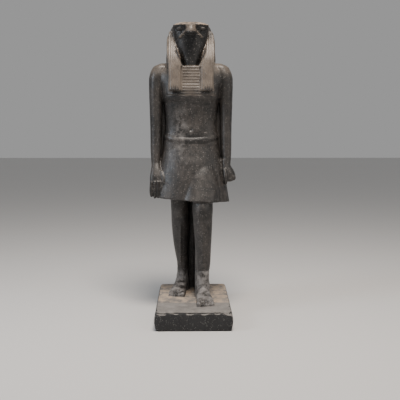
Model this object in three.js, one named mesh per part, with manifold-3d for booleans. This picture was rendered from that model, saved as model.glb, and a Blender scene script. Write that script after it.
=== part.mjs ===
// A striding falcon-headed god, carved with its plinth and back pillar from one block of dark stone.
// Millimetres, +Z up, the figure looks along -Y. The origin is the middle of the plinth's underside.
// Heights in the tables are above the plinth's top, and widths are from the figure's own axis.
import * as THREE from 'three';
import { mergeVertices } from 'three/addons/utils/BufferGeometryUtils.js';
import Module from 'manifold-3d';

const wasm = await Module();
wasm.setup();

const PLINTH = { width: 413, depth: 710, height: 105, power: 30 };
const FIGURE_AXIS = -12;
const PILLAR = { halfWidth: 80, front: 250, back: 345, height: 1290 };
const LEFT = 1;
const RIGHT = -1;

// Each row of a standing form: height, centre x, centre y, half width, half depth.
const TORSO = [
  [850, 0, 168, 165, 95],
  [910, 0, 170, 161, 92],
  [960, 0, 170, 153, 87],
  [1010, 0, 170, 150, 85],
  [1060, 0, 170, 152, 89],
  [1110, 0, 170, 158, 95],
  [1132, 0, 170, 162, 98],
  [1152, 0, 168, 168, 107],
  [1180, 0, 167, 173, 107],
  [1216, 0, 168, 180, 106],
  [1260, 0, 171, 200, 101],
  [1300, 0, 174, 205, 95],
  [1335, 0, 177, 188, 84],
  [1362, 0, 179, 158, 68],
  [1385, 0, 180, 100, 48],
];
const KILT = [
  [562, 0, 130, 230, 142],
  [620, 0, 136, 219, 136],
  [700, 0, 145, 204, 127],
  [780, 0, 154, 185, 115],
  [840, 0, 162, 171, 103],
  [890, 0, 168, 164, 96],
  [925, 0, 170, 160, 91],
];
const THIGH_UNDER_KILT = [
  [562, 53, 49, 116, 90],
  [640, 53, 78, 111, 88],
  [740, 49, 112, 103, 80],
  [830, 39, 144, 92, 64],
];
const BELT = { low: 888, high: 932, edge: 3, rise: 25, centreY: 169, halfWidth: 158, halfDepth: 94 };
const HEM_TILT = -0.063;
const HEM_FADE = 150;

const LEFT_LEG = [
  [600, 67, 60, 62, 60],
  [560, 67, 38, 60, 64],
  [510, 67, 26, 60, 64],
  [460, 67, 20, 57, 60],
  [420, 68, 18, 55, 61],
  [340, 69, 10, 50, 58],
  [266, 70, -5, 45, 49],
  [197, 71, -18, 40, 43],
  [150, 69, -26, 36, 39],
  [100, 68, -30, 36, 42],
  [50, 68, -28, 38, 52],
  [-6, 68, -20, 40, 56],
];
const RIGHT_LEG = [
  [640, -68, 180, 70, 78],
  [560, -64, 188, 61, 70],
  [500, -63, 188, 58, 64],
  [420, -63, 195, 56, 62],
  [340, -61, 200, 52, 60],
  [235, -56, 203, 43, 50],
  [163, -50, 205, 36, 42],
  [100, -50, 205, 36, 42],
  [50, -51, 207, 38, 52],
  [-6, -53, 215, 41, 56],
];
// Each row of a foot: distance in front of the heel, sideways shift, half width, height.
const FOOT = [
  [2, 0, 18, 40],
  [14, 0, 33, 66],
  [45, 0, 38, 88],
  [80, 0, 38, 84],
  [125, 2, 40, 62],
  [170, 6, 46, 44],
  [205, 9, 49, 33],
  [232, 11, 48, 26],
];
const SOLE_SINK = 8;
const FEET = [
  { side: LEFT, heelY: 32, x: 67, splay: 2 },
  { side: RIGHT, heelY: 267, x: -52, splay: 24 },
];
// Toes from the inner side outward: place across the foot, half width, reach beyond the ball.
const TOES = [
  [-36, 14, 46],
  [-15, 9, 43],
  [3, 9, 38],
  [20, 8.5, 32],
  [37, 9, 24],
];
const ARM = [
  [1364, 158, 172, 22, 24],
  [1350, 171, 170, 42, 42],
  [1323, 184, 168, 50, 52],
  [1289, 195, 166, 51, 57],
  [1240, 203, 165, 46, 56],
  [1180, 207, 165, 41, 54],
  [1100, 209, 165, 37, 50],
  [1000, 209, 164, 34, 46],
  [930, 209, 160, 33, 46],
  [850, 210, 150, 31, 42],
  [790, 211, 136, 26, 33],
  [752, 209, 126, 24, 28],
];
const OPEN_HAND = [
  [775, 209, 130, 24, 30],
  [740, 207, 110, 30, 27],
  [700, 205, 92, 37, 24],
  [650, 204, 76, 38, 18],
];
const FINGER = { halfWidth: 9.6, halfDepth: 13, top: 672, centreY: 69 };
const FINGER_TIPS = [584, 573, 571, 580];
const OPEN_THUMB = [
  [735, 176, 96, 10, 14],
  [700, 162, 78, 14, 15],
  [660, 155, 66, 13, 14],
  [639, 152, 62, 7, 9],
];
const FIST = [
  [800, 206, 138, 26, 34],
  [765, 208, 132, 28, 37],
  [735, 216, 128, 38, 42],
  [705, 222, 126, 42, 44],
  [684, 222, 126, 38, 42],
  [668, 219, 126, 24, 34],
];
const FIST_FINGERS = { count: 4, firstY: 96, pitch: 19, height: 692, radius: 17, from: 196, to: 264 };
const FIST_THUMB = [
  [748, 198, 98, 12, 14],
  [720, 202, 86, 13, 15],
  [680, 204, 80, 12, 14],
  [651, 204, 82, 7, 9],
];
const HEAD = [
  [1330, 0, 150, 44, 76],
  [1400, 0, 155, 72, 82],
  [1457, 0, 157, 91, 86],
  [1505, 0, 160, 102, 91],
  [1548, 0, 160, 105, 95],
  [1574, 0, 160, 107, 103],
  [1584, 0, 166, 102, 92],
  [1594, 0, 174, 88, 76],
  [1600, 0, 180, 62, 52],
];
const BEAK = [
  [1588, 0, 84, 22, 18],
  [1572, 0, 66, 26, 34],
  [1552, 0, 54, 29, 42],
  [1534, 0, 48, 34, 40],
  [1524, 0, 42, 30, 34],
  [1514, 0, 24, 9, 13],
];
const EYE = { x: 60, y: 80, height: 1554, halfWidth: 26, halfDepth: 15, halfHeight: 12 };
const BROW = {
  from: 20,
  to: 104,
  height: 1574,
  halfHeight: 6,
  nearY: 66,
  farY: 108,
  halfDepth: 15,
  bow: 10,
};
const CHEEK_MARK = { topX: 30, topZ: 1540, footX: 66, footZ: 1502, topY: 72, footY: 80, radius: 7 };
const WIG = [
  [1275, 0, 250, 112, 60],
  [1330, 0, 222, 140, 92],
  [1368, 0, 208, 147, 102],
  [1440, 0, 206, 144, 104],
  [1500, 0, 206, 139, 104],
  [1550, 0, 202, 123, 101],
  [1580, 0, 194, 108, 100],
  [1594, 0, 186, 88, 88],
  [1600, 0, 180, 56, 60],
];
const LAPPET = [
  [1200, 93, 68, 37, 21],
  [1255, 93, 68, 38, 21],
  [1335, 95, 72, 38, 22],
  [1375, 99, 84, 38, 26],
  [1420, 106, 106, 35, 30],
  [1457, 112, 130, 30, 33],
  [1505, 118, 152, 22, 36],
  [1548, 112, 168, 15, 38],
];
const COLLAR = {
  low: 1174,
  high: 1342,
  rows: 10,
  front: 63,
  lean: 9,
  relief: 4,
  halfWidth: 118,
  narrowing: 3,
  halfDepth: 26,
};
const LEG_WEB = { from: 22, to: 92, front: -10, back: 270, height: 570 };
const ARM_WEB = { from: 128, to: 202, front: 182, back: 206, low: 660, high: 1240 };
// Chips along the plinth's upper edge: x, y, radius.
const CHIPS = [
  [-168, -356, 20],
  [-96, -362, 15],
  [-22, -360, 18],
  [58, -366, 20],
  [128, -360, 16],
  [196, -346, 24],
  [-206, -300, 16],
  [207, -214, 18],
];

const STONE = new THREE.MeshStandardMaterial({ color: 0x4b4844, roughness: 0.42, metalness: 0 });

// A point of a rounded section: power 2 is an ellipse and a larger power is squarer.
function sectionPoint(turn, halfU, halfV, power) {
  const bend = (value) => Math.sign(value) * Math.abs(value) ** (2 / power);
  return [halfU * bend(Math.cos(turn)), halfV * bend(Math.sin(turn))];
}

function closedSolid(points, faces) {
  const geometry = new THREE.BufferGeometry();
  geometry.setAttribute('position', new THREE.Float32BufferAttribute(points.flat(), 3));
  geometry.setIndex(faces.flat());
  const merged = mergeVertices(geometry);
  const mesh = new wasm.Mesh({
    numProp: 3,
    vertProperties: new Float32Array(merged.attributes.position.array),
    triVerts: new Uint32Array(merged.index.array),
  });
  return new wasm.Manifold(mesh);
}

function signedVolume(points, faces) {
  const corner = (index) => new THREE.Vector3(...points[index]);
  return faces.reduce((sum, [a, b, c]) => sum + corner(a).dot(corner(b).cross(corner(c))), 0);
}

// Rows of sections joined into one closed skin: place turns (along, u, v) into a point in space.
function loft(rows, { sides = 20, power = 2.2, place }) {
  const points = [];
  const faces = [];
  rows.forEach(([along, centreU, centreV, halfU, halfV]) => {
    for (let side = 0; side < sides; side += 1) {
      const turn = (2 * Math.PI * (side + 0.5)) / sides;
      const [u, v] = sectionPoint(turn, halfU, halfV, power);
      points.push(place(along, centreU + u, centreV + v));
    }
  });
  for (let row = 0; row + 1 < rows.length; row += 1) {
    for (let side = 0; side < sides; side += 1) {
      const next = (side + 1) % sides;
      const [a, b] = [row * sides + side, row * sides + next];
      faces.push([a, b, b + sides], [a, b + sides, a + sides]);
    }
  }
  [[0, true], [rows.length - 1, false]].forEach(([row, turned]) => {
    const [along, centreU, centreV] = rows[row];
    const middle = points.push(place(along, centreU, centreV)) - 1;
    for (let side = 0; side < sides; side += 1) {
      const [a, b] = [row * sides + side, row * sides + ((side + 1) % sides)];
      faces.push(turned ? [middle, b, a] : [middle, a, b]);
    }
  });
  const outward = signedVolume(points, faces) > 0;
  return closedSolid(points, outward ? faces : faces.map(([a, b, c]) => [a, c, b]));
}

// A form that stands: rows follow Z, and the side mirrors it about the figure's axis.
function standing(rows, { side = LEFT, warp = () => 0, ...options } = {}) {
  const place = (z, x, y) => [FIGURE_AXIS + side * x, y, z + warp(x, y, z)];
  return loft(rows, { place, ...options });
}

function alongY(rows, options) {
  return loft(rows, { place: (y, x, z) => [FIGURE_AXIS + x, y, z], ...options });
}

function alongX(rows, options) {
  return loft(rows, { place: (x, y, z) => [FIGURE_AXIS + x, y, z], ...options });
}

function block({ from, to, front, back, low = -6, height, high = height }, side = LEFT) {
  const [middleX, middleY] = [(from + to) / 2, (front + back) / 2];
  const [halfX, halfY] = [(to - from) / 2, (back - front) / 2];
  const rows = [low, high].map((z) => [z, middleX, middleY, halfX * Math.SQRT2, halfY * Math.SQRT2]);
  return standing(rows, { side, sides: 4, power: 2 });
}

// A small rounded form with its long way along Z, used for eyes, toes and chips.
function pebble(x, y, z, halfX, halfY, halfZ, sides = 10) {
  const rows = [-1, -0.8, -0.3, 0.3, 0.8, 1].map((share) => {
    const slim = Math.sqrt(Math.max(1 - share * share, 0.04));
    return [z + share * halfZ, x, y, halfX * slim, halfY * slim];
  });
  return standing(rows, { sides, power: 2 });
}

function plinth() {
  const { width, depth, height } = PLINTH;
  const middle = -FIGURE_AXIS;
  const row = (z, inset) => [z, middle, 0, width / 2 - inset, depth / 2 - inset];
  const rows = [row(-height, 2), row(-height + 6, 0), row(-10, 0), row(0, 4)];
  const chips = CHIPS.map(([x, y, radius]) =>
    pebble(x + middle, y, 0, radius * 1.5, radius * 0.7, radius, 7));
  return chips.reduce((solid, chip) => solid.subtract(chip), standing(rows, { sides: 40, power: PLINTH.power }));
}

function pillar() {
  const { halfWidth, front, back, height } = PILLAR;
  return block({ from: -halfWidth, to: halfWidth, front, back, height });
}

function torso() {
  return standing(TORSO, { sides: 26, power: 2.4 });
}

function hemWarp(x, y, z) {
  const share = Math.max(0, 1 - (z - KILT[0][0]) / HEM_FADE);
  return HEM_TILT * x * share;
}

function kilt() {
  const skirt = standing(KILT, { sides: 28, power: 1.9, warp: hemWarp });
  return skirt.add(standing(THIGH_UNDER_KILT, { sides: 16, warp: hemWarp }));
}

function belt() {
  const { low, high, edge, rise, centreY, halfWidth, halfDepth } = BELT;
  const row = (z, inset) => [z, 0, centreY, halfWidth - inset, halfDepth - inset];
  const rows = [row(low, edge), row(low + edge, 0), row(high - edge, 0), row(high, edge * 3)];
  const warp = (x) => rise * (x / halfWidth) ** 2;
  return standing(rows, { sides: 26, power: 2.4, warp });
}

function foot({ side, heelY, x, splay }) {
  const shiftOf = (reach, shift) => x + side * (shift + (splay * reach) / FOOT.at(-1)[0]);
  const rows = FOOT.map(([reach, shift, half, height]) => {
    return [heelY - reach, shiftOf(reach, shift), (height - SOLE_SINK) / 2, half, (height + SOLE_SINK) / 2];
  });
  const [ball, ballShift] = FOOT.at(-1);
  const toes = TOES.map(([across, half, reach]) => {
    const centre = shiftOf(ball, ballShift) + side * across;
    const end = heelY - ball - reach;
    const row = (y, height, share) => [y, centre, half * height, half * share, half * share];
    const root = row(end + reach + half, 1, 1);
    const rows = [root, row(end + half, 0.95, 1), row(end + half / 3, 0.85, 0.9), row(end, 0.7, 0.5)];
    return alongY(rows, { sides: 8 });
  });
  return toes.reduce((solid, toe) => solid.add(toe), alongY(rows, { sides: 14, power: 2.3 }));
}

function openHand() {
  const [, middle] = OPEN_HAND.at(-1);
  const palm = standing(OPEN_HAND, { side: RIGHT, sides: 14, power: 2.6 });
  const fingers = FINGER_TIPS.map((tip, index) => {
    const x = middle + (index - 1.5) * 2 * FINGER.halfWidth;
    const slim = (z, share) =>
      [z, x, FINGER.centreY + 3, FINGER.halfWidth * share, FINGER.halfDepth * share];
    return standing([slim(FINGER.top, 1), slim(tip + 12, 0.96), slim(tip + 3, 0.75), slim(tip, 0.4)], {
      side: RIGHT,
      sides: 8,
    });
  });
  const thumb = standing(OPEN_THUMB, { side: RIGHT, sides: 10 });
  return [thumb, ...fingers].reduce((solid, piece) => solid.add(piece), palm);
}

function fist() {
  const { count, firstY, pitch, height, radius, from, to } = FIST_FINGERS;
  const fingers = Array.from({ length: count }, (_, index) => {
    const y = firstY + index * pitch;
    const row = (x, share) => [x, y, height, (pitch / 2 + 1) * share, radius * share];
    return alongX([row(from, 0.8), row(from + 12, 1), row(to - 12, 1), row(to - 3, 0.75), row(to, 0.4)], {
      sides: 10,
    });
  });
  const palm = standing(FIST, { sides: 16, power: 2.4 });
  const thumb = standing(FIST_THUMB, { sides: 10 });
  return [thumb, ...fingers].reduce((solid, piece) => solid.add(piece), palm);
}

function face(side) {
  const eye = pebble(side * EYE.x, EYE.y, EYE.height, EYE.halfWidth, EYE.halfDepth, EYE.halfHeight, 12);
  const { from, to, height, halfHeight, nearY, farY, halfDepth, bow } = BROW;
  const browRow = (x, y) => [side * x, y, height, halfDepth, halfHeight];
  const browRows = [
    browRow(from, nearY),
    browRow((from + to) / 2, (nearY + farY) / 2 - bow),
    browRow(to, farY),
  ];
  const brow = alongX(browRows, { sides: 8, power: 3 });
  const { topX, topZ, footX, footZ, topY, footY, radius } = CHEEK_MARK;
  const markRow = (z, x, y) => [z, side * x, y, radius, radius];
  const mark = standing([markRow(footZ, footX, footY), markRow(topZ, topX, topY)], { sides: 6 });
  return eye.add(brow).add(mark);
}

function head() {
  const skull = standing(HEAD, { sides: 24, power: 2.4 });
  const beak = standing(BEAK, { sides: 14, power: 2 });
  return skull.add(beak).add(face(LEFT)).add(face(RIGHT));
}

function wig() {
  const crown = standing(WIG, { sides: 28, power: 2.3 });
  return [LEFT, RIGHT].reduce(
    (solid, side) => solid.add(standing(LAPPET, { side, sides: 14, power: 3.6 })),
    crown,
  );
}

// The broad collar: each bead row is a low ridge that follows the chest.
function collar() {
  const { low, high, rows, front, lean, relief, halfWidth, narrowing, halfDepth } = COLLAR;
  const pitch = (high - low) / rows;
  const stations = [];
  for (let row = 0; row < rows; row += 1) {
    const z = low + row * pitch;
    const back = front + (lean * row) / rows + halfDepth;
    const half = halfWidth - row * narrowing;
    stations.push([z, 0, back + relief, half, halfDepth]);
    stations.push([z + pitch * 0.2, 0, back, half, halfDepth]);
    stations.push([z + pitch * 0.8, 0, back, half, halfDepth]);
  }
  return standing(stations, { sides: 14, power: 3 });
}

function figure() {
  const arms = [LEFT, RIGHT].map((side) => standing(ARM, { side, sides: 16 }));
  const armWebs = [LEFT, RIGHT].map((side) => block(ARM_WEB, side));
  const legs = [LEFT_LEG, RIGHT_LEG].map((rows) => standing(rows, { sides: 16 }));
  const feet = FEET.map(foot);
  const pieces = [
    pillar(),
    torso(),
    kilt(),
    belt(),
    ...legs,
    ...feet,
    ...arms,
    openHand(),
    fist(),
    head(),
    wig(),
    collar(),
    ...armWebs,
    block(LEG_WEB),
  ];
  return pieces.reduce((solid, piece) => solid.add(piece), plinth());
}

function stoneMesh(solid, name) {
  const { vertProperties, triVerts } = solid.getMesh();
  const geometry = new THREE.BufferGeometry();
  geometry.setAttribute('position', new THREE.BufferAttribute(vertProperties, 3));
  geometry.setIndex(new THREE.BufferAttribute(triVerts, 1));
  geometry.computeVertexNormals();
  const mesh = new THREE.Mesh(geometry, STONE);
  mesh.name = name;
  mesh.position.z = PLINTH.height;
  return mesh;
}

const statue = new THREE.Group();
statue.add(stoneMesh(figure(), 'falcon_god_statue'));

export default statue;
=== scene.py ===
import math

import bpy
import numpy as np
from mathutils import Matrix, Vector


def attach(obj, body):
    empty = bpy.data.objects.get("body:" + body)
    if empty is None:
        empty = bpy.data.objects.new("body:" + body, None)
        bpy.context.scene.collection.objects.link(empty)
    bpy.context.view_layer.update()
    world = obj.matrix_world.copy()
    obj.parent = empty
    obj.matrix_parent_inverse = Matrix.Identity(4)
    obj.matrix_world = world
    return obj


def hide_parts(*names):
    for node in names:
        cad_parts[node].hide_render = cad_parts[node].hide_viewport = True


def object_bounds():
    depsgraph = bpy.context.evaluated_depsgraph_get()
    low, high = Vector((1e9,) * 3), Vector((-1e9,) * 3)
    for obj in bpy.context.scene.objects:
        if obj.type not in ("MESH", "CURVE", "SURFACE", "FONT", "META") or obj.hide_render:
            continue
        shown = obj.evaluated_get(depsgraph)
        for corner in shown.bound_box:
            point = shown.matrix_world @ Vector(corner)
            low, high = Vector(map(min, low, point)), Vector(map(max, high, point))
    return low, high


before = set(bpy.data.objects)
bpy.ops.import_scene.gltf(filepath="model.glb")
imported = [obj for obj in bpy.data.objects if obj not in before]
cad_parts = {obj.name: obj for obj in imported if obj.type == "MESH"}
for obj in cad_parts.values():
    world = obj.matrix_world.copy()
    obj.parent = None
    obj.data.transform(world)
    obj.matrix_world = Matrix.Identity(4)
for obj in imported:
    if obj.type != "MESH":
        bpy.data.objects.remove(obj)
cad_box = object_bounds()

# The tables are in millimetres. Heights are above the plinth's top and widths from the figure's axis.
MM = 0.001
NODE = "falcon_god_statue"
FIGURE_AXIS = -12.0
PLINTH = {"width": 413.0, "depth": 710.0, "height": 105.0}
PLINTH_TOP = PLINTH["height"]
# The plinth's edges: height above the floor and how far the side is set in.
PLINTH_EDGES = [(0, 2), (6, 0), (95, 0), (105, 4)]
VOXEL = 3.4
TRIANGLE_LIMIT = 192000
LEFT, RIGHT = 1, -1

# Each row of a standing form: height, centre x, centre y, half width, half depth.
TORSO = [
    (850, 0, 168, 165, 95), (910, 0, 170, 161, 92), (960, 0, 170, 153, 87), (1010, 0, 170, 150, 85),
    (1060, 0, 170, 152, 89), (1110, 0, 170, 158, 95), (1132, 0, 170, 162, 98), (1152, 0, 168, 168, 107),
    (1180, 0, 167, 173, 107), (1216, 0, 168, 180, 106), (1260, 0, 171, 200, 101), (1300, 0, 174, 205, 95),
    (1335, 0, 177, 188, 84), (1362, 0, 179, 158, 68), (1385, 0, 180, 100, 48),
]
KILT = [
    (562, 0, 130, 230, 142), (620, 0, 136, 219, 136), (700, 0, 145, 204, 127), (780, 0, 154, 185, 115),
    (840, 0, 162, 171, 103), (890, 0, 168, 164, 96), (925, 0, 170, 160, 91),
]
THIGH_UNDER_KILT = [
    (562, 53, 49, 116, 90), (640, 53, 78, 111, 88), (740, 49, 112, 103, 80), (830, 39, 144, 92, 64),
]
BELT = {"low": 888, "rise": 25, "y": 169, "half_width": 158, "half_depth": 94}
# The belt's edges: height above its lower edge and how far the side is set in.
BELT_EDGES = [(0, 2), (3, 0), (34, 1), (44, 7)]
# The hem drops towards the figure's left, and the slope fades out above it.
HEM_TILT = -0.063
HEM_FADE = 150
LEFT_LEG = [
    (600, 67, 60, 62, 60), (560, 67, 38, 60, 64), (510, 67, 26, 60, 64), (460, 67, 20, 57, 60),
    (420, 68, 18, 55, 61), (340, 69, 10, 50, 58), (266, 70, -5, 45, 49), (197, 71, -18, 40, 43),
    (150, 69, -26, 36, 39), (100, 68, -30, 36, 42), (50, 68, -28, 38, 52), (-6, 68, -20, 40, 56),
]
RIGHT_LEG = [
    (640, -68, 180, 70, 78), (560, -64, 188, 61, 70), (500, -63, 188, 58, 64), (420, -63, 195, 56, 62),
    (340, -61, 200, 52, 60), (235, -56, 203, 43, 50), (163, -50, 205, 36, 42), (100, -50, 205, 36, 42),
    (50, -51, 207, 38, 52), (-6, -53, 215, 41, 56),
]
# Each row of a foot: distance in front of the heel, sideways shift, half width, height.
FOOT = [
    (2, 0, 18, 40), (14, 0, 33, 66), (45, 0, 38, 88), (80, 0, 38, 84),
    (125, 2, 40, 62), (170, 6, 46, 44), (205, 9, 49, 33), (232, 11, 48, 26),
]
SOLE_SINK = 8
# Each foot: side, where its heel is, its middle, and how far it is splayed outward at the ball.
FEET = [(LEFT, 32, 67, 2), (RIGHT, 267, -52, 24)]
# Toes from the inner side outward: place across the foot, half width, reach beyond the ball.
TOES = [(-36, 14, 46), (-15, 9, 43), (3, 9, 38), (20, 8.5, 32), (37, 9, 24)]
# A toe's tip, in shares of its half width: way back from the end, height and thickness.
TOE_TIP = [(1, 0.95, 1), (1 / 3, 0.85, 0.9), (0, 0.7, 0.5)]
ARM = [
    (1364, 158, 172, 22, 24), (1350, 171, 170, 42, 42), (1323, 184, 168, 50, 52), (1289, 195, 166, 51, 57),
    (1240, 203, 165, 46, 56), (1180, 207, 165, 41, 54), (1100, 209, 165, 37, 50), (1000, 209, 164, 34, 46),
    (930, 209, 160, 33, 46), (850, 210, 150, 31, 42), (790, 211, 136, 26, 33), (752, 209, 126, 24, 28),
]
OPEN_HAND = [
    (775, 209, 130, 24, 30), (740, 207, 110, 30, 27), (700, 205, 92, 37, 24), (650, 204, 76, 38, 18),
]
FINGER = {"half_width": 9.6, "half_depth": 13, "top": 672, "y": 69}
FINGER_TIPS = [584, 573, 571, 580]
# A finger's end: distance back from the tip and share of the full thickness.
FINGER_END = [(12, 0.96), (3, 0.75), (0, 0.4)]
OPEN_THUMB = [(735, 176, 96, 10, 14), (700, 162, 78, 14, 15), (660, 155, 66, 13, 14), (639, 152, 62, 7, 9)]
FIST = [
    (800, 206, 138, 26, 34), (765, 208, 132, 28, 37), (735, 216, 128, 38, 42),
    (705, 222, 126, 42, 44), (684, 222, 126, 38, 42), (668, 219, 126, 24, 34),
]
FIST_FINGERS = {
    "count": 4, "first_y": 96, "pitch": 19, "height": 692, "radius": 17, "start": 196, "end": 264,
}
# A curled finger: distance out from its start, or in from its end, and share of the full thickness.
CURL_START = [(0, 0.8), (12, 1)]
CURL_END = [(12, 1), (3, 0.75), (0, 0.4)]
FIST_THUMB = [(748, 198, 98, 12, 14), (720, 202, 86, 13, 15), (680, 204, 80, 12, 14), (651, 204, 82, 7, 9)]
HEAD = [
    (1330, 0, 150, 44, 76), (1400, 0, 155, 72, 82), (1457, 0, 157, 91, 86), (1505, 0, 160, 102, 91),
    (1548, 0, 160, 105, 95), (1574, 0, 160, 107, 103), (1584, 0, 166, 102, 92),
    (1594, 0, 174, 88, 76), (1600, 0, 180, 62, 52),
]
BEAK = [
    (1588, 0, 84, 22, 18), (1572, 0, 66, 26, 34), (1552, 0, 54, 29, 42),
    (1534, 0, 48, 34, 40), (1524, 0, 42, 30, 34), (1514, 0, 24, 9, 13),
]
EYE = {"x": 60, "y": 80, "z": 1554, "half": (26, 15, 12)}
BROW = {
    "start": 20, "end": 104, "z": 1574, "half_height": 6, "near_y": 66, "far_y": 108,
    "half_depth": 15, "bow": 10,
}
CHEEK_MARK = {"top": (1540, 30, 72), "foot": (1502, 66, 80), "radius": 7}
WIG = [
    (1275, 0, 250, 112, 60), (1330, 0, 222, 140, 92), (1368, 0, 208, 147, 102), (1440, 0, 206, 144, 104),
    (1500, 0, 206, 139, 104), (1550, 0, 202, 123, 101), (1580, 0, 194, 108, 100), (1594, 0, 186, 88, 88),
    (1600, 0, 180, 56, 60),
]
LAPPET = [
    (1200, 93, 68, 37, 21), (1255, 93, 68, 38, 21), (1335, 95, 72, 38, 22), (1375, 99, 84, 38, 26),
    (1420, 106, 106, 35, 30), (1457, 112, 130, 30, 33), (1505, 118, 152, 22, 36), (1548, 112, 168, 15, 38),
]
# The raised edge of the wig beside the throat.
BORDER = [(1336, 52, 62, 4, 6), (1400, 73, 66, 4, 6), (1455, 91, 76, 4, 6)]
COLLAR = {
    "low": 1174, "high": 1342, "rows": 10, "front": 63, "lean": 9, "half_width": 118, "narrowing": 30,
    "half_depth": 26,
}
PILLAR = {"x": (-80, 80), "y": (250, 345), "z": (-6, 1290)}
LEG_WEB = {"x": (22, 92), "y": (-10, 270), "z": (-6, 570)}
ARM_WEB = {"x": (128, 202), "y": (182, 206), "z": (660, 1240)}
# Chips along the plinth's upper edge: x, y, radius.
CHIPS = [
    (-168, -356, 20), (-96, -362, 15), (-22, -360, 18), (58, -366, 20),
    (128, -360, 16), (196, -346, 24), (-206, -300, 16), (207, -214, 18),
]
# How square a form's sections are: 2 is an ellipse, and a high power is nearly a rectangle.
WIG_POWER = 2.3
LAPPET_POWER = 3.6
COLLAR_POWER = 3.0
HEAD_POWER = 2.4
BEAK_POWER = 2.0
KILT_POWER = 1.9
TRUNK_POWER = 2.4
BLOCK_POWER = 16.0
PLINTH_POWER = 34.0


# Forms: closed skins that the remesh joins into one stone.
skin = {"points": [], "faces": [], "count": 0}


def smooth_rows(rows, step=6.0):
    """Rows between the table's rows, on a smooth curve through them."""
    table = np.array(sorted(rows), dtype=float)
    along = table[:, 0]
    slopes = np.gradient(table, along, axis=0)
    fine = np.linspace(along[0], along[-1], max(int((along[-1] - along[0]) / step), 2) + 1)
    low = np.clip(np.searchsorted(along, fine, side="right") - 1, 0, len(along) - 2)
    span = (along[low + 1] - along[low])[:, None]
    share = (fine - along[low])[:, None] / span
    rise = share * share * (3 - 2 * share)
    out = share * (1 - share) ** 2 * span * slopes[low]
    back = share * share * (share - 1) * span * slopes[low + 1]
    result = table[low] * (1 - rise) + table[low + 1] * rise + out + back
    result[:, 0] = fine
    return result


def bend(value, power):
    return np.sign(value) * np.abs(value) ** (2 / power)


def loft(rows, sides=48, power=2.2, order="zxy", side=LEFT, warp=None, step=6.0):
    """One closed skin of rounded sections. order names the axis along it and the section's two axes."""
    fine = smooth_rows(rows, step)
    turns = 2 * math.pi * np.arange(sides) / sides
    along = np.repeat(fine[:, :1], sides, axis=1)
    u = fine[:, 1:2] + fine[:, 3:4] * bend(np.cos(turns), power)
    v = fine[:, 2:3] + fine[:, 4:5] * bend(np.sin(turns), power)
    place = dict(zip(order, (along, u, v)))
    if warp:
        place["z"] = place["z"] + warp(place["x"], place["z"])
    x = FIGURE_AXIS + side * place["x"]
    z = PLINTH_TOP + place["z"]
    start = skin["count"]
    skin["points"].append(np.stack([x, place["y"], z], axis=-1).reshape(-1, 3))
    skin["count"] += along.size
    for row in range(len(fine) - 1):
        for turn in range(sides):
            after = (turn + 1) % sides
            a, b = start + row * sides + turn, start + row * sides + after
            skin["faces"].append((a, b, b + sides, a + sides))
    last = start + (len(fine) - 1) * sides
    skin["faces"].append(tuple(range(start + sides - 1, start - 1, -1)))
    skin["faces"].append(tuple(range(last, last + sides)))


def block(limits, side=LEFT):
    (x0, x1), (y0, y1), (z0, z1) = limits["x"], limits["y"], limits["z"]
    rows = [(z, (x0 + x1) / 2, (y0 + y1) / 2, (x1 - x0) / 2, (y1 - y0) / 2) for z in (z0, z1)]
    loft(rows, sides=64, power=BLOCK_POWER, side=side, step=z1 - z0)


def pebble(centre, half):
    (x, y, z), (half_x, half_y, half_z) = centre, half
    rows = []
    for share in np.linspace(-1, 1, 9):
        slim = math.sqrt(max(1 - share * share, 0.02))
        rows.append((z + share * half_z, x, y, half_x * slim, half_y * slim))
    loft(rows, sides=24, power=2.0, step=2.0)


def make_plinth():
    half_x, half_y = PLINTH["width"] / 2, PLINTH["depth"] / 2
    rows = [(height - PLINTH_TOP, -FIGURE_AXIS, 0, half_x - inset, half_y - inset)
            for height, inset in PLINTH_EDGES]
    loft(rows, sides=160, power=PLINTH_POWER, step=4.0)


def hem_warp(x, z):
    return HEM_TILT * x * np.clip(1 - (z - KILT[0][0]) / HEM_FADE, 0, None)


def make_body():
    loft(TORSO, sides=72, power=TRUNK_POWER)
    loft(KILT, sides=80, power=KILT_POWER, warp=hem_warp)
    loft(THIGH_UNDER_KILT, sides=48, warp=hem_warp)
    half, depth = BELT["half_width"], BELT["half_depth"]
    rows = [(BELT["low"] + up, 0, BELT["y"], half - inset, depth - inset) for up, inset in BELT_EDGES]
    loft(rows, sides=72, power=TRUNK_POWER, warp=lambda x, z: BELT["rise"] * (x / half) ** 2, step=3.0)


def make_foot(side, heel_y, x, splay):
    ball, ball_shift = FOOT[-1][:2]

    def shifted(reach, shift):
        return x + side * (shift + splay * reach / ball)

    rows = []
    for reach, shift, half, height in FOOT:
        middle, half_height = (height - SOLE_SINK) / 2, (height + SOLE_SINK) / 2
        rows.append((heel_y - reach, shifted(reach, shift), middle, half, half_height))
    loft(rows, sides=40, power=2.3, order="yxz", step=5.0)
    for across, half, reach in TOES:
        centre = shifted(ball, ball_shift) + side * across
        end = heel_y - ball - reach
        rows = [(end + reach + half, centre, half, half, half)]
        for back, lift, thick in TOE_TIP:
            rows.append((end + half * back, centre, half * lift, half * thick, half * thick))
        loft(rows, sides=20, order="yxz", step=3.0)


def make_open_hand():
    loft(OPEN_HAND, sides=36, power=2.6, side=RIGHT)
    half, depth, top, y = (FINGER[key] for key in ("half_width", "half_depth", "top", "y"))
    for index, tip in enumerate(FINGER_TIPS):
        x = OPEN_HAND[-1][1] + (index - 1.5) * 2 * half
        ends = [(top, 1)] + [(tip + up, share) for up, share in FINGER_END]
        rows = [(z, x, y, half * share, depth * share) for z, share in ends]
        loft(rows, sides=20, side=RIGHT, step=4.0)
    loft(OPEN_THUMB, sides=20, side=RIGHT, step=4.0)


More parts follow.
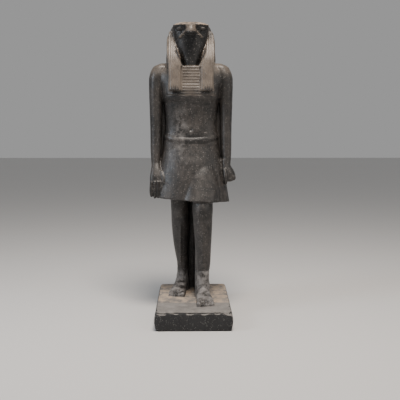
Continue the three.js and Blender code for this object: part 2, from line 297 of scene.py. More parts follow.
def make_fist():
    loft(FIST, sides=36, power=2.4)
    half, radius = FIST_FINGERS["pitch"] / 2 + 1, FIST_FINGERS["radius"]
    ends = [(FIST_FINGERS["start"] + out, share) for out, share in CURL_START]
    ends += [(FIST_FINGERS["end"] - back, share) for back, share in CURL_END]
    for index in range(FIST_FINGERS["count"]):
        y = FIST_FINGERS["first_y"] + index * FIST_FINGERS["pitch"]
        rows = [(x, y, FIST_FINGERS["height"], half * share, radius * share) for x, share in ends]
        loft(rows, sides=24, order="xyz", step=3.0)
    loft(FIST_THUMB, sides=24, step=4.0)


def make_face():
    loft(HEAD, sides=72, power=HEAD_POWER, step=4.0)
    loft(BEAK, sides=40, power=BEAK_POWER, step=3.0)
    for side in (LEFT, RIGHT):
        pebble((side * EYE["x"], EYE["y"], EYE["z"]), EYE["half"])
        start, end, z = BROW["start"], BROW["end"], BROW["z"]
        middle_y = (BROW["near_y"] + BROW["far_y"]) / 2 - BROW["bow"]
        rows = [(side * x, y, z, BROW["half_depth"], BROW["half_height"]) for x, y in
                ((start, BROW["near_y"]), ((start + end) / 2, middle_y), (end, BROW["far_y"]))]
        loft(rows, sides=24, power=3.0, order="xyz", step=4.0)
        radius = CHEEK_MARK["radius"]
        rows = [(z, side * x, y, radius, radius) for z, x, y in (CHEEK_MARK["foot"], CHEEK_MARK["top"])]
        loft(rows, sides=16, step=4.0)


def make_wig():
    loft(WIG, sides=96, power=WIG_POWER, step=4.0)
    for side in (LEFT, RIGHT):
        loft(LAPPET, sides=48, power=LAPPET_POWER, side=side, step=4.0)
        loft(BORDER, sides=16, side=side, step=4.0)


def collar_rows():
    rows = []
    for share in np.linspace(0, 1, 8):
        z = COLLAR["low"] + share * (COLLAR["high"] - COLLAR["low"])
        y = COLLAR["front"] + COLLAR["lean"] * share + COLLAR["half_depth"]
        half_width = COLLAR["half_width"] - COLLAR["narrowing"] * share
        rows.append((z, 0, y, half_width, COLLAR["half_depth"]))
    return rows


def make_figure():
    make_plinth()
    block(PILLAR)
    make_body()
    loft(LEFT_LEG, sides=48)
    loft(RIGHT_LEG, sides=48)
    for foot in FEET:
        make_foot(*foot)
    for side in (LEFT, RIGHT):
        loft(ARM, sides=48, side=side)
        block(ARM_WEB, side=side)
    block(LEG_WEB)
    make_open_hand()
    make_fist()
    make_face()
    make_wig()
    loft(collar_rows(), sides=64, power=COLLAR_POWER)


def changed_mesh(source, name, kind, **settings):
    """A copy of the mesh with one modifier applied."""
    holder = bpy.data.objects.new(name + "_work", source)
    bpy.context.collection.objects.link(holder)
    modifier = holder.modifiers.new("change", kind)
    for key, value in settings.items():
        setattr(modifier, key, value)
    evaluated = holder.evaluated_get(bpy.context.evaluated_depsgraph_get())
    result = bpy.data.meshes.new_from_object(evaluated)
    result.name = name
    bpy.data.objects.remove(holder)
    return result


def mesh_points(mesh):
    flat = np.empty(len(mesh.vertices) * 3, dtype=np.float32)
    mesh.vertices.foreach_get("co", flat)
    return flat.reshape(-1, 3).astype(float) / MM


def set_points(mesh, points):
    mesh.vertices.foreach_set("co", (points * MM).astype(np.float32).ravel())
    mesh.update()


def mesh_normals(mesh):
    flat = np.empty(len(mesh.vertices) * 3, dtype=np.float32)
    mesh.vertex_normals.foreach_get("vector", flat)
    return flat.reshape(-1, 3).astype(float)


def relaxed(mesh, points, rounds, weight):
    """Each vertex moves towards the mean of its neighbours, by its weight."""
    edges = np.empty(len(mesh.edges) * 2, dtype=np.int32)
    mesh.edges.foreach_get("vertices", edges)
    ends = edges.reshape(-1, 2)
    first = np.concatenate([ends[:, 0], ends[:, 1]])
    second = np.concatenate([ends[:, 1], ends[:, 0]])
    count = np.maximum(np.bincount(first, minlength=len(points)), 1)
    for _ in range(rounds):
        for axis in range(3):
            mean = np.bincount(first, weights=points[second, axis], minlength=len(points)) / count
            points[:, axis] += weight * (mean - points[:, axis])
    return points


# Carving: every cut is a depth at each vertex, taken along its normal, in millimetres.
# A swell is a cut the other way. A fade is the pair of places between which a form comes in.
LAPPET_LINES = {"pitch": 13.0, "shift": 55, "width": 2.4, "depth": 3.0, "foot": 1196}
CROWN_LINES = {"count": 62, "centre_y": 200, "width": 0.19, "depth": 1.7}
CROWN_BARE = {"centre_y": 190, "fade": (40, 70)}
COLLAR_LINES = {"width": 2.6, "depth": 2.4, "bead_pitch": 6.5, "bead_width": 1.2, "bead_share": 0.25}
EYE_RIM = {"share": 1.12, "width": 0.13, "depth": 3.2, "back": 100}
PUPIL_RIM = {"radius": 8, "width": 1.6, "depth": 1.2, "back": 95}
MOUTH = {"z": 1526, "slope": 0.25, "front": 60, "width": 2.2, "depth": 2.6, "back": 72, "inner": 14}
NOSTRIL = {"x": 17, "z": 1560, "stretch": 1.3, "radius": 5, "depth": 4.0, "back": 60}
TEAR = {"x": 52, "top": 1540, "slope": 0.12, "width": 4, "depth": 2.4, "fade": (1500, 1512), "back": 110}
NAVEL = {"z": 974, "radius": 9, "depth": 9}
BREAST = {"x": 100, "z": 1182, "stretch": 1.2, "radius": 46, "swell": 9, "fade": (1132, 1156)}
MIDLINE = {"width": 10, "depth": 2.5, "fade_in": (985, 1010), "fade_out": (1110, 1150)}
WAIST = {"z": 955, "stretch": 1.6, "radius": 52, "swell": 4}
BARE_TRUNK = {"low": 936, "high": 1300, "half_width": 170, "front": (0.1, 0.5)}
PLEATS = {"pitch": 11, "width": 2.6, "fade": (60, 110), "depth": 0.9}
FAINT_PLEATS = {"pitch": 14, "width": 3.4, "share": 0.3}
KILT_TAB = {"half_width": 34, "width": 1.8, "fade": (580, 600), "share": 0.5}
KILT_SPREAD = {"amount": 0.3, "top": 890, "height": 330}
PLEATED = {"top": 880, "front": (0.1, 0.4)}
KNEES = [(67, 20, 500), (-63, 188, 490)]
KNEE_REACH = {"half_width": 75, "back": 30, "top": 548}
KNEECAP = {"half_width": 26, "half_height": 30, "above": 6, "swell": 5}
UNDER_KNEE = {"half_width": 30, "half_height": 12, "below": 44, "depth": 3.5}
SHIN = {"width": 7, "fade_in": (150, 220), "fade_out": (380, 440), "swell": 4}
ANKLES = [(68, -30), (-50, 205)]
ANKLE_KNOB = {"z": 84, "radius": 13, "reach": 60, "swell": 4}
TOE_GAPS = {"behind": 12, "ahead": 50, "low": 2, "high": 40, "half_width": 52, "width": 2.6, "depth": 5}
FINGER_GAPS = {"low": 566, "inner": 160, "back": 90, "width": 2.4, "depth": 4}
# Joins across the ankles: height, which way the line wanders, and its limits in x and in y.
JOINS = [(164, 1, (15, 120), (-400, 60)), (140, -1, (-400, -5), (100, 262))]
JOIN_LINE = {"width": 2.4, "depth": 2.4}
CHIP = {"stretch": 2.2, "depth": 0.55}
BROKEN_EDGE = {"below": 4, "width": 7, "front": -330}
# Uneven stone: the mean depth, then the depth, size and seed of each set of waves.
UNEVEN_SIDES = (1.2, [(1.2, 34, 3), (0.7, 12, 5)])
UNEVEN_EDGE = (3.0, [(3.5, 46, 8)])
UNEVEN_TOP = (1.0, [(1.0, 60, 11)])
UNEVEN_STONE = (0.2, [(0.35, 70, 21)])


def hump(distance, width):
    return np.exp(-(distance / width) ** 2)


def step_up(value, low, high):
    share = np.clip((value - low) / (high - low), 0, 1)
    return share * share * (3 - 2 * share)


def step_down(value, low, high):
    return 1 - step_up(value, low, high)


# A point belongs to a form up to the first distance from it, and not at all beyond the second.
NEAR_SKIN = (3.0, 7.0)
WITHIN = (2.0, 5.0)
END_MARGIN = 4
FAR_OFF = 99


def off_form(place, rows, power, side=LEFT):
    """Rough distance of each point outside the skin of a standing form, in millimetres."""
    fine = smooth_rows(rows)
    x, y, z = side * place[:, 0], place[:, 1], place[:, 2]
    centre_x, centre_y, half_x, half_y = (
        np.interp(z, fine[:, 0], fine[:, column]) for column in (1, 2, 3, 4)
    )
    across = np.abs((x - centre_x) / half_x) ** power
    along = np.abs((y - centre_y) / half_y) ** power
    ratio = (across + along) ** (1 / power)
    outside = (z < fine[0, 0] - END_MARGIN) | (z > fine[-1, 0] + END_MARGIN)
    return np.where(outside, FAR_OFF, (ratio - 1) * np.minimum(half_x, half_y))


def near_skin(place, rows, power):
    return step_down(np.abs(off_form(place, rows, power)), *NEAR_SKIN)


def within(place, rows, power, side=LEFT):
    return step_down(off_form(place, rows, power, side), *WITHIN)


def line_distance(value, pitch):
    """Distance from the nearest of a row of equally spaced lines."""
    return np.abs((value / pitch) % 1 - 0.5) * pitch


def soft_noise(points, size, seed):
    """A few crossed sine waves: uneven, the same on every run."""
    draw = np.random.default_rng(seed)
    total = np.zeros(len(points))
    for _ in range(7):
        direction = draw.normal(size=3)
        direction *= draw.uniform(0.6, 1.6) / (np.linalg.norm(direction) * size)
        total += np.sin(points @ direction * 2 * math.pi + draw.uniform(0, 2 * math.pi))
    return total / 7


def uneven(points, kind):
    """Depth of one kind of uneven stone at each point."""
    mean, waves = kind
    return mean + sum(depth * soft_noise(points, size, seed) for depth, size, seed in waves)


# Limits of the kinds of surface: heights and depths, and a normal's share along y or z.
WIG_FOOT = 1278
FACE = {"foot": 1325, "fade": (105, 125)}
PLINTH_FADE = (-1, 3)
COLLAR_NORMAL = -0.2
LEVEL_NORMAL = 0.6


def stone_masks(points, normals):
    """Each point's place on the figure, and from 0 to 1 the kind of surface that it lies on."""
    place = points - np.array([FIGURE_AXIS, 0, PLINTH_TOP])
    x, y, z = place.T
    left_lappet, right_lappet = (within(place, LAPPET, LAPPET_POWER, side) for side in (LEFT, RIGHT))
    lappets = np.maximum(left_lappet, right_lappet)
    wig = near_skin(place, WIG, WIG_POWER) * (z > WIG_FOOT)
    face = near_skin(place, HEAD, HEAD_POWER) * step_down(y, *FACE["fade"])
    face *= (1 - wig) * (z > FACE["foot"])
    beak = near_skin(place, BEAK, BEAK_POWER)
    collar = within(place, collar_rows(), COLLAR_POWER) * (normals[:, 1] < COLLAR_NORMAL) * (1 - lappets)
    return place, {
        "lappets": lappets,
        "wig": wig * (1 - lappets),
        "face": np.maximum(face, beak) * (1 - lappets),
        "collar": collar,
        "kilt": near_skin(place, KILT, KILT_POWER),
        "plinth": step_down(z, *PLINTH_FADE),
    }


def carve_wig(place, masks):
    x, y, z = place.T
    off_line = line_distance(x - LAPPET_LINES["shift"], LAPPET_LINES["pitch"])
    lappet_cut = hump(off_line, LAPPET_LINES["width"])
    lappet_cut *= LAPPET_LINES["depth"] * masks["lappets"] * (z > LAPPET_LINES["foot"])
    turn = np.arctan2(x, y - CROWN_LINES["centre_y"]) / (2 * math.pi) * CROWN_LINES["count"]
    crown_cut = hump(line_distance(turn, 1.0), CROWN_LINES["width"])
    crown_cut *= step_up(np.hypot(x, y - CROWN_BARE["centre_y"]), *CROWN_BARE["fade"])
    return lappet_cut + CROWN_LINES["depth"] * crown_cut * masks["wig"]


def carve_collar(place, masks):
    pitch = (COLLAR["high"] - COLLAR["low"]) / COLLAR["rows"]
    rows_cut = hump(line_distance(place[:, 2] - COLLAR["low"] + pitch / 2, pitch), COLLAR_LINES["width"])
    beads_cut = hump(line_distance(place[:, 0], COLLAR_LINES["bead_pitch"]), COLLAR_LINES["bead_width"])
    cut = COLLAR_LINES["depth"] * rows_cut + COLLAR_LINES["bead_share"] * beads_cut
    return cut * masks["collar"]


def carve_face(place, masks):
    x, y, z = place.T
    across = np.abs(x)
    rim = np.hypot((across - EYE["x"]) / EYE["half"][0], (z - EYE["z"]) / EYE["half"][2])
    eye_rim = hump(rim - EYE_RIM["share"], EYE_RIM["width"]) * (y < EYE_RIM["back"])
    off_pupil = np.hypot(across - EYE["x"], z - EYE["z"]) - PUPIL_RIM["radius"]
    pupil_rim = hump(off_pupil, PUPIL_RIM["width"]) * (y < PUPIL_RIM["back"])
    mouth_line = z - MOUTH["z"] - MOUTH["slope"] * (MOUTH["front"] - y)
    mouth = hump(mouth_line, MOUTH["width"]) * (y < MOUTH["back"]) * (across > MOUTH["inner"])
    off_nostril = np.hypot(across - NOSTRIL["x"], (z - NOSTRIL["z"]) * NOSTRIL["stretch"])
    nostril = hump(off_nostril, NOSTRIL["radius"]) * (y < NOSTRIL["back"])
    tear = hump(across - TEAR["x"] - (TEAR["top"] - z) * TEAR["slope"], TEAR["width"])
    tear *= step_up(z, *TEAR["fade"]) * (z < TEAR["top"]) * (y < TEAR["back"])
    cut = EYE_RIM["depth"] * eye_rim + PUPIL_RIM["depth"] * pupil_rim + MOUTH["depth"] * mouth
    cut += NOSTRIL["depth"] * nostril + TEAR["depth"] * tear
    return cut * masks["face"]


def carve_body(place, normals):
    x, z = place[:, 0], place[:, 2]
    front = step_up(-normals[:, 1], *BARE_TRUNK["front"])
    navel = NAVEL["depth"] * hump(np.hypot(x, z - NAVEL["z"]), NAVEL["radius"])
    off_breast = np.hypot((np.abs(x) - BREAST["x"]) / BREAST["stretch"], z - BREAST["z"])
    chest = -BREAST["swell"] * hump(off_breast, BREAST["radius"]) * step_up(z, *BREAST["fade"])
    midline = MIDLINE["depth"] * hump(x, MIDLINE["width"])
    midline *= step_up(z, *MIDLINE["fade_in"]) * step_down(z, *MIDLINE["fade_out"])
    waist = -WAIST["swell"] * hump(np.hypot(x / WAIST["stretch"], z - WAIST["z"]), WAIST["radius"])
    bare = (z > BARE_TRUNK["low"]) & (z < BARE_TRUNK["high"]) & (np.abs(x) < BARE_TRUNK["half_width"])
    return np.where(bare, (navel + chest + midline + waist) * front, 0)


def carve_kilt(place, masks, normals):
    x, z = place[:, 0], place[:, 2]
    front = step_up(-normals[:, 1], *PLEATED["front"])
    across = x / (1 + KILT_SPREAD["amount"] * (KILT_SPREAD["top"] - z) / KILT_SPREAD["height"])
    pleat = hump(line_distance(across, PLEATS["pitch"]), PLEATS["width"]) * step_up(x, *PLEATS["fade"])
    faint = hump(line_distance(across, FAINT_PLEATS["pitch"]), FAINT_PLEATS["width"])
    tab = hump(np.abs(across) - KILT_TAB["half_width"], KILT_TAB["width"]) * step_up(z, *KILT_TAB["fade"])
    cut = PLEATS["depth"] * (pleat + FAINT_PLEATS["share"] * faint + KILT_TAB["share"] * tab)
    return cut * masks["kilt"] * front * (z < PLEATED["top"])


def oval(across, up, form):
    """A soft oval hump of the form's half width and half height."""
    return hump(np.hypot(across / form["half_width"], up / form["half_height"]), 1)


def carve_legs(place):
    x, y, z = place.T
    depth = np.zeros(len(place))
    for knee_x, knee_y, knee_z in KNEES:
        near = np.abs(x - knee_x) < KNEE_REACH["half_width"]
        near &= (y < knee_y + KNEE_REACH["back"]) & (z < KNEE_REACH["top"])
        cap = oval(x - knee_x, z - knee_z - KNEECAP["above"], KNEECAP)
        under = oval(x - knee_x, z - knee_z + UNDER_KNEE["below"], UNDER_KNEE)
        shin = hump(x - knee_x, SHIN["width"])
        shin *= step_up(z, *SHIN["fade_in"]) * step_down(z, *SHIN["fade_out"])
        cut = UNDER_KNEE["depth"] * under - KNEECAP["swell"] * cap - SHIN["swell"] * shin
        depth += np.where(near, cut, 0)
    for ankle_x, ankle_y in ANKLES:
        knob = hump(np.hypot(y - ankle_y, z - ANKLE_KNOB["z"]), ANKLE_KNOB["radius"])
        depth -= ANKLE_KNOB["swell"] * knob * (np.abs(x - ankle_x) < ANKLE_KNOB["reach"])
    return depth


def carve_toes(place):
    """The creases between the toes."""
    x, y, z = place.T
    depth = np.zeros(len(place))
    ball, ball_shift = FOOT[-1][:2]
    for side, heel_y, foot_x, splay in FEET:
        across = side * (x - foot_x) - ball_shift - splay
        ahead = heel_y - ball - y
        toes = (ahead > -TOE_GAPS["behind"]) & (ahead < TOE_GAPS["ahead"])
        toes &= (z > TOE_GAPS["low"]) & (z < TOE_GAPS["high"]) & (np.abs(across) < TOE_GAPS["half_width"])
        for (inner, inner_half, _), (outer, outer_half, _) in zip(TOES, TOES[1:]):
            gap = (inner + inner_half + outer - outer_half) / 2
            depth += np.where(toes, TOE_GAPS["depth"] * hump(across - gap, TOE_GAPS["width"]), 0)
    return depth


def carve_fingers(place):
    """The creases between the open hand's fingers."""
    across, y, z = RIGHT * place[:, 0], place[:, 1], place[:, 2]
    fingers = (z < FINGER["top"] - 2) & (z > FINGER_GAPS["low"])
    fingers &= (across > FINGER_GAPS["inner"]) & (y < FINGER_GAPS["back"])
    depth = np.zeros(len(place))
    for gap in (-1, 0, 1):
        off_gap = across - OPEN_HAND[-1][1] - gap * 2 * FINGER["half_width"]
        depth += np.where(fingers, FINGER_GAPS["depth"] * hump(off_gap, FINGER_GAPS["width"]), 0)
    return depth


def carve_joins(place):
    """The wandering lines where the feet were joined on."""
    x, y, z = place.T
    wander = 3 * np.sin(x / 9) + 2 * np.sin(x / 4 + 1)
    depth = np.zeros(len(place))
    for height, way, (x_low, x_high), (y_low, y_high) in JOINS:
        crossed = (x > x_low) & (x < x_high) & (y > y_low) & (y < y_high)
        depth += hump(z - height - way * wander, JOIN_LINE["width"]) * crossed
    return JOIN_LINE["depth"] * depth


def carve_chips(points, place):
    depth = np.zeros(len(place))
    for x, y, radius in CHIPS:
        off_x, off_y = points[:, 0] - x, points[:, 1] - y
        away = np.sqrt(off_x ** 2 / CHIP["stretch"] + off_y ** 2 + place[:, 2] ** 2)
        depth += CHIP["depth"] * radius * np.clip(1 - (away / radius) ** 2, 0, 1)
    return depth


def carve_wear(points, place, normals, masks):
    """The plinth's hand-dressed sides, broken front edge and worn top, and the stone's slight waves."""
    y, z = place[:, 1], place[:, 2]
    sides = masks["plinth"] * (np.abs(normals[:, 2]) < LEVEL_NORMAL)
    top = masks["plinth"] * (normals[:, 2] > LEVEL_NORMAL)
    edge = hump(z + BROKEN_EDGE["below"], BROKEN_EDGE["width"]) * (y < BROKEN_EDGE["front"])
    depth = sides * uneven(points, UNEVEN_SIDES) + edge * uneven(points, UNEVEN_EDGE)
    return depth + top * uneven(points, UNEVEN_TOP) + uneven(points, UNEVEN_STONE)


def carved_depth(points, normals):
    place, masks = stone_masks(points, normals)
    depth = carve_wig(place, masks) + carve_collar(place, masks) + carve_face(place, masks)
    depth += carve_body(place, normals) + carve_kilt(place, masks, normals) + carve_legs(place)
    depth += carve_toes(place) + carve_fingers(place) + carve_joins(place) + carve_chips(points, place)
    return depth + carve_wear(points, place, normals, masks)


# Colour: paler stone and painted light, worn stone and a painted highlight, filled stone, painted shade
# and a dark belt patch. Shares are from 0, none, to 1, full.
# Painted light: shoulder tops that face up are painted lighter.
LIT_SHOULDER = {"rise": (1255, 1335), "up": (-0.1, 0.5), "inner": 120, "share": 0.6}
# Lighter unpolished stone on the wig and collar, partly painted light from the overhead lamp.
PALE_AND_LIT_WIG = {"fade": (1470, 1520), "crown_share": 0.5}
PALE_AND_LIT_COLLAR = 0.7
# Painted highlight on the lit top of the beak.
LIT_BEAK = {"half_width": 30, "back": 74, "rise": (1526, 1536), "share": 0.8}
PALE_CHEEK = {"edge": 2, "back": 88, "share": 0.5}
# Painted light: the flat top of the head, lit from above, is painted lighter and partly in the fill
# colour.
LIT_CROWN = {"rise": (1573, 1578), "back": 190, "painted_light_share": 0.6}
# Painted highlight: a light bluish patch where the cool left lamp glints on the belly.
BELLY_HIGHLIGHT = {"x": -62, "z": 965, "half_width": 42, "half_height": 115, "back": 150, "share": 0.6}
# Feet of paler stone: side, the heights where it fades upward, and how far back it reaches.
WORN_FEET = [(LEFT, (158, 168), 60), (RIGHT, (100, 142), 262)]
WORN_FOOT = {"inner": 5, "low": 2, "share": 0.9}
PLINTH_UP = (0.5, 0.8)
FILLED_FROM = (-150, -128)
# The dark patch in the middle of the belt.
DARK_BELT = {
    "left": (-38, -32), "right": (80, 100), "foot": (889, 893), "top": (930, 934),
    "rise": 25, "half_width": 161, "back": 110, "share": 0.7,
}


# Lighter stone on the wig, collar and cheek marks, with painted light on the lappets, shoulder tops and
# beak.
def pale_and_lit_share(place, normals, masks):
    x, y, z = place.T
    across = np.abs(x)
    # Painted light on the upward-facing shoulder tops.
    shoulder = step_up(z, *LIT_SHOULDER["rise"]) * step_up(normals[:, 2], *LIT_SHOULDER["up"])
    shoulder *= across > LIT_SHOULDER["inner"]
    wig = (masks["lappets"] + masks["wig"] * PALE_AND_LIT_WIG["crown_share"]) * step_down(z, *PALE_AND_LIT_WIG["fade"])
    # Painted highlight on the top of the beak.
    beak = (across < LIT_BEAK["half_width"]) * (y < LIT_BEAK["back"]) * step_up(z, *LIT_BEAK["rise"])
    (top_z, top_x, _), (foot_z, foot_x, _) = CHEEK_MARK["top"], CHEEK_MARK["foot"]
    mark_x = top_x + (top_z - z) * (foot_x - top_x) / (top_z - foot_z)
    edge = PALE_CHEEK["edge"]
    cheek = (np.abs(across - mark_x) < CHEEK_MARK["radius"] + edge) & (y < PALE_CHEEK["back"])
    cheek &= (z > foot_z - edge) & (z < top_z + edge)
    total = wig + masks["collar"] * PALE_AND_LIT_COLLAR + shoulder * LIT_SHOULDER["share"]
    return np.clip(total + beak * LIT_BEAK["share"] + cheek * PALE_CHEEK["share"], 0, 1)


# Painted highlight on the belly, and the paler stone of the rejoined feet.
def worn_and_highlight_share(place):
    x, y, z = place.T
    total = oval(x - BELLY_HIGHLIGHT["x"], z - BELLY_HIGHLIGHT["z"], BELLY_HIGHLIGHT)
    total *= (y < BELLY_HIGHLIGHT["back"]) * BELLY_HIGHLIGHT["share"]
    for side, fade, back in WORN_FEET:
        foot = (side * x > WORN_FOOT["inner"]) & (z > WORN_FOOT["low"]) & (y < back)
        total += step_down(z, *fade) * foot * WORN_FOOT["share"]
    return np.clip(total, 0, 1)


def dark_belt_share(place):
    x, y, z = place.T
    rise = DARK_BELT["rise"] * (x / DARK_BELT["half_width"]) ** 2
    across = step_up(x, *DARK_BELT["left"]) * step_down(x, *DARK_BELT["right"])
    upward = step_up(z, *DARK_BELT["foot"]) * step_down(z - rise, *DARK_BELT["top"])
    return across * upward * (y < DARK_BELT["back"]) * DARK_BELT["share"]


def vertex_attribute(mesh, name, values):
    attribute = mesh.attributes.new(name, "FLOAT", "POINT")
    attribute.data.foreach_set("value", values.astype(np.float32))


def colour_masks(mesh):
    """Vertex values that the stone's material reads."""
    points = mesh_points(mesh)
    normals = mesh_normals(mesh)
    place, masks = stone_masks(points, normals)
    y, z = place[:, 1], place[:, 2]
    # Painted light on the flat top of the head.
    crown = step_up(z, *LIT_CROWN["rise"]) * (y < LIT_CROWN["back"])
    top = masks["plinth"] * step_up(normals[:, 2], *PLINTH_UP)
    filled = top * step_up(y, *FILLED_FROM)
    # Lighter stone together with painted light on lit tops.
    vertex_attribute(mesh, "pale_and_lit", np.maximum(pale_and_lit_share(place, normals, masks), crown))
    # The worn value holds the paler rejoined feet and a painted highlight on the belly.
    vertex_attribute(mesh, "worn", worn_and_highlight_share(place))
    # The filled value also carries painted light on the top of the head.
    vertex_attribute(mesh, "filled", np.maximum(filled, crown * LIT_CROWN["painted_light_share"]))
    vertex_attribute(mesh, "top", top)
    vertex_attribute(mesh, "rough", masks["plinth"] * (1 - top))
    # Painted shade: the face and throat are painted near black; the dark patch on the belt shares this
    # value.
    vertex_attribute(mesh, "face", np.maximum(masks["face"], dark_belt_share(place)))


# How far the joined skin is softened: less at the head, hardly at the hands, not near the plinth.
SOFTEN = {"rounds": 4, "head": 0.3, "body": 0.55, "hands": 0.2, "head_from": 1150, "fade": (40, 90)}
HANDS = {"inner": 140, "low": 560, "high": 760}
UNDERSIDE = 3


def joined_forms():
    make_figure()
    points = np.concatenate(skin["points"])
    forms = bpy.data.meshes.new("joined_forms")
    forms.from_pydata((points * MM).tolist(), [], skin["faces"])
    return changed_mesh(forms, "stone", "REMESH", mode="VOXEL", voxel_size=VOXEL * MM)


def soften(mesh):
    points = mesh_points(mesh)
    height = points[:, 2] - PLINTH_TOP
    across = np.abs(points[:, 0] - FIGURE_AXIS)
    hands = (across > HANDS["inner"]) & (height > HANDS["low"]) & (height < HANDS["high"])
    weight = np.where(height > SOFTEN["head_from"], SOFTEN["head"], SOFTEN["body"])
    weight = weight * step_up(height, *SOFTEN["fade"]) * np.where(hands, SOFTEN["hands"], 1)
    set_points(mesh, relaxed(mesh, points, SOFTEN["rounds"], weight))
    return points


def stone_mesh():
    mesh = joined_forms()
    points = soften(mesh)
    normals = mesh_normals(mesh)
    depth = carved_depth(points, normals)
    underside = points[:, 2] < UNDERSIDE
    points -= normals * np.where(underside, 0, depth)[:, None]
    low, high = (np.array(corner, dtype=float) / MM for corner in cad_box)
    set_points(mesh, np.clip(points, low, high))
    triangles = sum(len(face.vertices) - 2 for face in mesh.polygons)
    mesh = changed_mesh(mesh, NODE, "DECIMATE", ratio=min(1.0, TRIANGLE_LIMIT / triangles))
    colour_masks(mesh)
    mesh.polygons.foreach_set("use_smooth", np.ones(len(mesh.polygons), dtype=bool))
    return mesh


# Material: one dark granodiorite whose colour and polish change with the vertex values, some of which
# paint light and shade into the colour.
class Graph:
    """Shader nodes made and linked by short calls."""

    def __init__(self, material):
        material.use_nodes = True
        self.nodes = material.node_tree.nodes
        self.links = material.node_tree.links
        self.shader = self.nodes["Principled BSDF"]
        self.coordinates = self.nodes.new("ShaderNodeTexCoord").outputs["Object"]

    def attribute(self, name):
        node = self.nodes.new("ShaderNodeAttribute")
        node.attribute_name = name
        return node.outputs["Fac"]

    def noise(self, scale, detail, roughness):
        node = self.nodes.new("ShaderNodeTexNoise")
        node.inputs["Scale"].default_value = scale
        node.inputs["Detail"].default_value = detail
        node.inputs["Roughness"].default_value = roughness
        self.links.new(self.coordinates, node.inputs["Vector"])
        return node.outputs["Fac"]

    def cells(self, scale):
        node = self.nodes.new("ShaderNodeTexVoronoi")
        node.inputs["Scale"].default_value = scale
        self.links.new(self.coordinates, node.inputs["Vector"])
        return node.outputs["Distance"]

    def ramp(self, value, low, high, start=0.0, end=1.0):
        node = self.nodes.new("ShaderNodeMapRange")
        self.links.new(value, node.inputs["Value"])
        for name, number in (("From Min", low), ("From Max", high), ("To Min", start), ("To Max", end)):
            node.inputs[name].default_value = number
        return node.outputs["Result"]

    def math(self, operation, first, second):
        node = self.nodes.new("ShaderNodeMath")
        node.operation = operation
        for socket, value in zip(node.inputs, (first, second)):
            if isinstance(value, (int, float)):
                socket.default_value = value
            else:
                self.links.new(value, socket)
        return node.outputs["Value"]

    def times(self, first, second):
        return self.math("MULTIPLY", first, second)

    def mix(self, share, first, second):
        node = self.nodes.new("ShaderNodeMix")
        node.data_type = "RGBA"
        self.links.new(share, node.inputs["Factor"])
        for name, value in (("A", first), ("B", second)):
            socket = next(entry for entry in node.inputs if entry.name == name and entry.type == "RGBA")
            if isinstance(value, tuple):
                socket.default_value = (*value, 1.0)
            else:
                self.links.new(value, socket)
        return next(entry for entry in node.outputs if entry.type == "RGBA")

    def bump(self, height, strength, distance, normal=None):
        node = self.nodes.new("ShaderNodeBump")
        node.inputs["Strength"].default_value = strength
        node.inputs["Distance"].default_value = distance
        self.links.new(height, node.inputs["Height"])
        if normal:
            self.links.new(normal, node.inputs["Normal"])
        return node.outputs["Normal"]


# Colours are linear red, green and blue.
DARK = (0.013, 0.0125, 0.012)
BROWN = (0.047, 0.041, 0.037)
# Lighter unpolished stone, also used for painted light on tops lit from above.
PALE_AND_LIT = (0.142, 0.115, 0.092)
# Paler worn stone on the rejoined feet, also used for a painted highlight on the belly.
WORN_AND_HIGHLIGHT = (0.210, 0.198, 0.190)
# The fill colour also paints light on the top of the head.
FILL = (0.400, 0.310, 0.230)
TOP_GREY = (0.230, 0.215, 0.200)
ROUGH_DARK = (0.020, 0.020, 0.021)
LIGHT_GRAIN = (0.290, 0.270, 0.255)
PINK_GRAIN = (0.260, 0.170, 0.140)
# Painted shade on the face and throat, also the colour of the belt's dark patch.
FACE_SHADE_AND_BELT_DARK = (0.005, 0.005, 0.005)
# Noise patterns: scale, detail and roughness.
WIDE_CLOUDS = (7.0, 6.0, 0.6)
SMALL_CLOUDS = (55.0, 6.0, 0.7)
PATCHES = (24.0, 8.0, 0.7)
GRAINS = (210.0, 3.0, 0.6)
GRAIN_GROUPS = (60.0, 2.0, 0.6)
# Cell patterns: scale only.
LIGHT_CELLS = 130.0
PINK_CELLS = 120.0
PIT_CELLS = 85.0


def stone_colour(graph, patch):
    wide = graph.times(graph.noise(*WIDE_CLOUDS), 0.5)
    small = graph.times(graph.noise(*SMALL_CLOUDS), 0.5)
    clouds = graph.math("ADD", wide, small)
    broken = graph.ramp(patch, 0.32, 0.62, 0.45, 1.0)
    mottle = graph.ramp(patch, 0.42, 0.60)
    colour = graph.mix(graph.ramp(clouds, 0.42, 0.60), DARK, BROWN)
    # Painted shade on the face and throat, and the belt's dark patch.
    colour = graph.mix(graph.times(graph.attribute("face"), 0.85), colour, FACE_SHADE_AND_BELT_DARK)
    # Lighter stone and painted light on the wig, collar, shoulders, beak and crown.
    colour = graph.mix(graph.times(graph.attribute("pale_and_lit"), broken), colour, PALE_AND_LIT)
    # Paler rejoined feet, and a painted highlight on the belly.
    colour = graph.mix(graph.times(graph.attribute("worn"), mottle), colour, WORN_AND_HIGHLIGHT)
    colour = graph.mix(graph.times(graph.attribute("top"), broken), colour, TOP_GREY)
    # Plinth fill, and painted light on the top of the head.
    colour = graph.mix(graph.times(graph.attribute("filled"), mottle), colour, FILL)
    colour = graph.mix(graph.attribute("rough"), colour, ROUGH_DARK)
    grouped = graph.ramp(graph.noise(*GRAIN_GROUPS), 0.46, 0.60)
    light = graph.times(graph.ramp(graph.cells(LIGHT_CELLS), 0.36, 0.10), grouped)
    colour = graph.mix(graph.times(light, 0.60), colour, LIGHT_GRAIN)
    pink = graph.times(graph.ramp(graph.cells(PINK_CELLS), 0.24, 0.08), 0.35)
    return graph.mix(graph.times(pink, graph.ramp(patch, 0.5, 0.7)), colour, PINK_GRAIN)


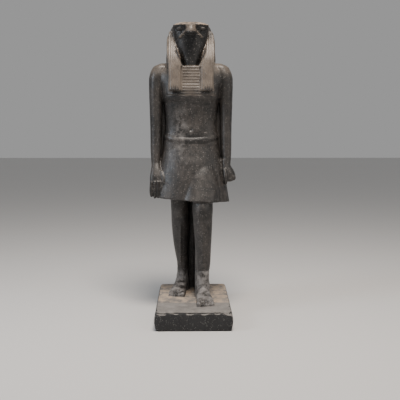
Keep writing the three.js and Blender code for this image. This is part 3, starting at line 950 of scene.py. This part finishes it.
def stone_roughness(graph, patch):
    polish = graph.ramp(patch, 0.30, 0.70, 0.32, 0.56)
    rough = graph.math("ADD", graph.times(graph.attribute("rough"), 0.35), polish)
    return graph.math("ADD", graph.times(graph.attribute("top"), 0.3), rough)


def stone_relief(graph, patch):
    grain = graph.bump(graph.noise(*GRAINS), 0.25, 0.0008)
    pits = graph.bump(graph.ramp(graph.cells(PIT_CELLS), 0.0, 0.35), 0.18, 0.0010, grain)
    return graph.bump(patch, 0.35, 0.003, pits)


def stone_material():
    material = bpy.data.materials.new("dark_granodiorite")
    graph = Graph(material)
    patch = graph.noise(*PATCHES)
    graph.links.new(stone_colour(graph, patch), graph.shader.inputs["Base Color"])
    graph.links.new(stone_roughness(graph, patch), graph.shader.inputs["Roughness"])
    graph.links.new(stone_relief(graph, patch), graph.shader.inputs["Normal"])
    graph.shader.inputs["Specular IOR Level"].default_value = 0.45
    return material


def make_statue():
    statue = bpy.data.objects.new("carved_statue", stone_mesh())
    bpy.context.collection.objects.link(statue)
    statue.data.materials.append(stone_material())
    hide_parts(NODE)
    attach(statue, "root")


# Studio, in metres and watts. Each light: name, place, size, power and colour.
FLOOR_HALF = 30.0
FLOOR_GREY = (0.62, 0.61, 0.60, 1.0)
CHEST = (0.0, 0.1, 1.1)
LIGHTS = [
    ("warm_overhead", (0.3, -1.2, 4.2), 1.2, 215, (1.0, 0.91, 0.82)),
    ("cool_left", (-3.2, -1.4, 2.4), 1.2, 55, (0.82, 0.90, 1.0)),
    ("soft_right", (3.4, -2.2, 2.4), 2.2, 25, (1.0, 0.96, 0.92)),
]
WORLD_GREY = (0.80, 0.80, 0.80, 1.0)
WORLD_STRENGTH = 0.42


def make_floor():
    mesh = bpy.data.meshes.new("floor")
    half = FLOOR_HALF
    corners = [(-half, -half, 0), (half, -half, 0), (half, half, 0), (-half, half, 0)]
    mesh.from_pydata(corners, [], [(0, 1, 2, 3)])
    floor = bpy.data.objects.new("floor", mesh)
    bpy.context.collection.objects.link(floor)
    material = bpy.data.materials.new("pale_floor")
    material.use_nodes = True
    shader = material.node_tree.nodes["Principled BSDF"]
    shader.inputs["Base Color"].default_value = FLOOR_GREY
    shader.inputs["Roughness"].default_value = 0.75
    mesh.materials.append(material)


def add_light(name, place, target, size, power, colour):
    light = bpy.data.lights.new(name, "AREA")
    light.size = size
    light.energy = power
    light.color = colour
    lamp = bpy.data.objects.new(name, light)
    bpy.context.collection.objects.link(lamp)
    lamp.location = place
    direction = np.array(target, dtype=float) - np.array(place, dtype=float)
    flat = math.hypot(direction[0], direction[1])
    lamp.rotation_euler = (math.atan2(flat, -direction[2]), 0, math.atan2(-direction[0], direction[1]))


def make_lights():
    for name, place, size, power, colour in LIGHTS:
        add_light(name, place, CHEST, size, power, colour)
    world = bpy.data.worlds.new("studio")
    world.use_nodes = True
    background = world.node_tree.nodes["Background"]
    background.inputs["Color"].default_value = WORLD_GREY
    background.inputs["Strength"].default_value = WORLD_STRENGTH
    bpy.context.scene.world = world


# Camera: the eye line and the vanishing point are pixels of the 400 by 400 photograph.
PHOTO_SIZE = 400
EYE_LINE = 135
VANISHING_X = 189
FOCAL_PIXELS = 669.6
SENSOR_WIDTH = 36.0
TILT_TRIM = math.radians(0.19)
CAMERA_PLACE = (-0.024, -3.855, 1.035)


def make_camera():
    camera = bpy.data.cameras.new("camera")
    camera.sensor_width = SENSOR_WIDTH
    camera.lens = camera.sensor_width * FOCAL_PIXELS / PHOTO_SIZE
    eye = bpy.data.objects.new("camera", camera)
    bpy.context.collection.objects.link(eye)
    eye.location = CAMERA_PLACE
    pitch = math.atan((PHOTO_SIZE / 2 - EYE_LINE) / FOCAL_PIXELS) - TILT_TRIM
    yaw = math.atan((PHOTO_SIZE / 2 - VANISHING_X) / FOCAL_PIXELS)
    eye.rotation_euler = (math.pi / 2 - pitch, 0, -yaw)
    bpy.context.scene.camera = eye


make_camera()
make_lights()
make_floor()
make_statue()
